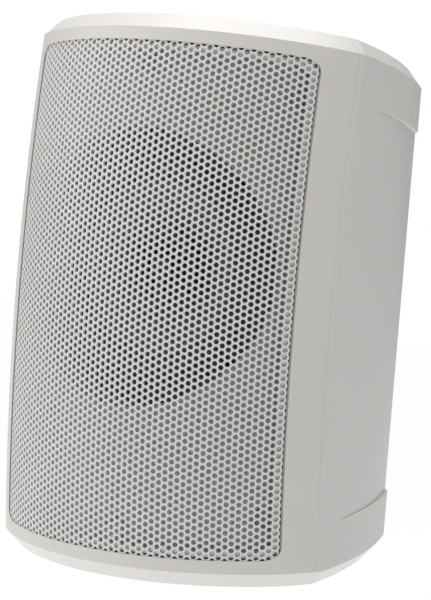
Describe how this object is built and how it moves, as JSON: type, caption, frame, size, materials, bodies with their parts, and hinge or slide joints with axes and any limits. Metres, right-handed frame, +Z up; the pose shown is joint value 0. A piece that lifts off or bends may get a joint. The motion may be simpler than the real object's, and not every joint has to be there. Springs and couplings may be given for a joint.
{
  "type": "loudspeaker",
  "caption": "White two-way wall loudspeaker with a barrel-curved perforated steel front, recessed terminals and a power-tap knob.",
  "frame": {"origin": "centre of the four bracket inserts, on the back face at mid-height", "axes": "+Y out of the back, towards the wall; +Z up; +X to the right seen from the front"},
  "size_m": [0.1584, 0.1286, 0.2346],
  "materials": {
    "cabinet_plastic": "satin moulded plastic, fine grain",
    "frame_plastic": "satin moulded plastic, fine grain",
    "grille_paint": "white powder coat",
    "foam_seal": "closed-cell foam",
    "screw_steel": "zinc plated",
    "screw_black": "black oxide",
    "basket_paint": "black paint",
    "surround_rubber": "matt rubber",
    "cone_paper": "coated paper",
    "former_film": "amber film",
    "copper_wire": "enamelled copper",
    "spider_cloth": "resin-set cloth",
    "zinc_steel": "zinc plated",
    "ferrite": "ground ferrite",
    "black_plastic": "black moulded plastic",
    "magnet_nickel": "nickel plated",
    "dome_silk": "coated silk",
    "red_plastic": "moulded",
    "lever_plastic": "moulded",
    "switch_plastic": "moulded",
    "knob_plastic": "moulded",
    "insert_brass": "turned",
    "board_green": "solder mask",
    "capacitor_film": "wrapped film",
    "resistor_ceramic": "ceramic",
    "core_steel": "stacked laminations",
    "winding_tape": "tape over winding",
    "strip_laminate": "paper laminate",
    "lead_insulation": "insulated wire",
    "wadding_fibre": "loose polyester"
  },
  "bodies": {
    "cabinet": {"rear_cabinet": "cabinet_plastic", "front_frame": "frame_plastic", "grille": "grille_paint", "cabinet_seal": "foam_seal", "cabinet_screws": "screw_steel", "driver_gasket": "foam_seal", "driver_basket": "basket_paint", "driver_screws": "screw_black", "top_plate": "zinc_steel", "ring_magnet": "ferrite", "yoke": "zinc_steel", "tweeter_post": "zinc_steel", "tweeter_housing": "black_plastic", "tweeter_magnet": "magnet_nickel", "tweeter_ring": "black_plastic", "phase_plug": "black_plastic", "terminal_plate": "black_plastic", "terminal_plate_seal": "foam_seal", "terminal_plate_screws": "screw_black", "terminal_block": "black_plastic", "tap_switch": "switch_plastic", "bracket_inserts": "insert_brass", "crossover_board": "board_green", "woofer_inductor": "copper_wire", "tweeter_inductor": "copper_wire", "capacitors": "capacitor_film", "resistor": "resistor_ceramic", "board_screws": "screw_steel", "transformer_core": "core_steel", "transformer_winding": "winding_tape", "transformer_screws": "screw_steel", "driver_terminals": "strip_laminate", "woofer_leads": "lead_insulation", "input_leads": "lead_insulation", "switch_leads": "lead_insulation", "board_leads": "lead_insulation", "wadding": "wadding_fibre"},
    "cone": {"cone": "cone_paper", "coil_former": "former_film", "coil_winding": "copper_wire", "surround": "surround_rubber", "spider": "spider_cloth"},
    "tweeter_dome": {"tweeter_dome": "dome_silk"},
    "lever_red": {"lever_red": "red_plastic"},
    "lever_black": {"lever_black": "lever_plastic"},
    "tap_knob": {"tap_knob": "knob_plastic"}
  },
  "joints": [
    {"name": "cone_travel", "type": "slide", "parent": "cabinet", "child": "cone", "axis": [0, -1, 0], "range_m": [-0.0025, 0.0025], "stiffness_N_per_m": 1500, "deforming": ["surround", "spider"]},
    {"name": "dome_travel", "type": "slide", "parent": "cabinet", "child": "tweeter_dome", "axis": [0, -1, 0], "range_m": [-0.0003, 0.0003], "stiffness_N_per_m": 3000},
    {"name": "lever_red_push", "type": "hinge", "parent": "cabinet", "child": "lever_red", "pos_m": [0.015, -0.0112, -0.062], "axis": [-1, 0, 0], "range_deg": [0, 15], "stiffness_Nm_per_rad": 0.08, "springref_deg": -11.46},
    {"name": "lever_black_push", "type": "hinge", "parent": "cabinet", "child": "lever_black", "pos_m": [0.033, -0.0112, -0.062], "axis": [-1, 0, 0], "range_deg": [0, 15], "stiffness_Nm_per_rad": 0.08, "springref_deg": -11.46},
    {"name": "tap_turn", "type": "hinge", "parent": "cabinet", "child": "tap_knob", "pos_m": [-0.024, -0.01, -0.072], "axis": [0, 1, 0], "range_deg": [-75, 75]}
  ]
}
